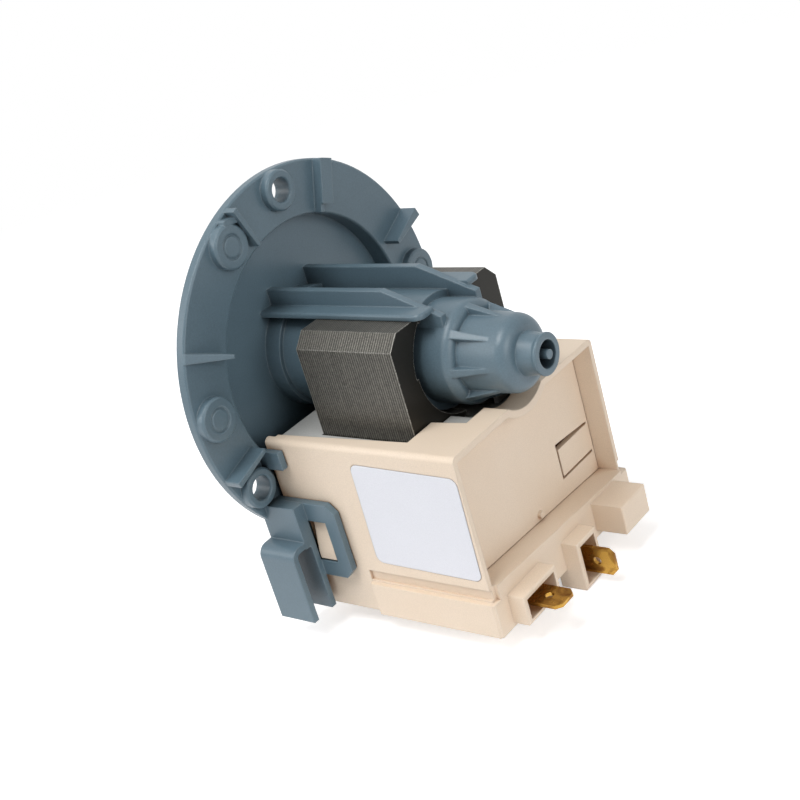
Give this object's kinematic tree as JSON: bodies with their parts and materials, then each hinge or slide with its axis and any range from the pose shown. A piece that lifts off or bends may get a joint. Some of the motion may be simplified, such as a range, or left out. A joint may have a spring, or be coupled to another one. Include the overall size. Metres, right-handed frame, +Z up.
{
  "type": "washer drain pump",
  "caption": "Synchronous drain pump motor on a round screw flange, with a stepped rotor barrel, a boxed coil unit with two blade terminals, and a vaned impeller.",
  "frame": {"origin": "centre of the screw circle on the flange's front face, on the rotor axis", "axes": "+X along the rotor axis from the flange towards the motor's rear, +Z up with the coil box below, +Y to the right seen from the rear's far side"},
  "size_m": [0.0894, 0.0816, 0.0954],
  "materials": {
    "cover_plastic": "satin moulded grey-blue plastic",
    "housing_plastic": "satin beige moulded plastic",
    "coil_plastic": "pale grey moulded plastic",
    "bearing_plastic": "dark moulded plastic",
    "impeller_plastic": "pale moulded plastic",
    "seal_rubber": "matt black rubber",
    "lamination_steel": "dark stacked sheet steel with fine vertical lines",
    "shaft_steel": "ground steel",
    "copper_wire": "enamelled copper wire",
    "ferrite": "dark ferrite",
    "tab_brass": "plain brass, lightly darkened",
    "carbon_bush": "smooth dark bush material",
    "label_film": "plain white film",
    "lead_insulation": "white insulated lead"
  },
  "bodies": {
    "motor": {"pump_cover": "cover_plastic", "flange_seal": "seal_rubber", "front_bearing_plate": "bearing_plastic", "bearing_plate_seal": "seal_rubber", "front_bush_rubber": "seal_rubber", "front_bush": "carbon_bush", "rear_bush_rubber": "seal_rubber", "rear_bush": "carbon_bush", "left_pole_stack": "lamination_steel", "right_pole_stack": "lamination_steel", "yoke_stack": "lamination_steel", "left_bobbin": "coil_plastic", "right_bobbin": "coil_plastic", "left_winding": "copper_wire", "right_winding": "copper_wire", "left_coil_cap": "coil_plastic", "right_coil_cap": "coil_plastic", "coil_housing": "housing_plastic", "rear_lid": "housing_plastic", "rating_label": "label_film", "line_terminal": "tab_brass", "neutral_terminal": "tab_brass", "thermal_cutout": "bearing_plastic", "line_lead": "lead_insulation", "cutout_lead": "lead_insulation", "neutral_lead": "lead_insulation"},
    "rotor": {"rotor_shaft": "shaft_steel", "rotor_hub": "bearing_plastic", "rotor_magnet": "ferrite", "rear_thrust_washer": "coil_plastic", "front_thrust_washer": "coil_plastic", "driver_dog": "bearing_plastic", "impeller_clip": "shaft_steel"},
    "impeller": {"impeller": "impeller_plastic", "impeller_cap": "impeller_plastic"}
  },
  "joints": [
    {"name": "rotor_spin", "type": "hinge", "parent": "motor", "child": "rotor", "pos_m": [0, 0, 0], "axis": [1, 0, 0], "continuous": true},
    {"name": "impeller_lost_motion", "type": "hinge", "parent": "rotor", "child": "impeller", "pos_m": [-0.015, 0, 0], "axis": [1, 0, 0], "range_deg": [-109, 109]}
  ]
}
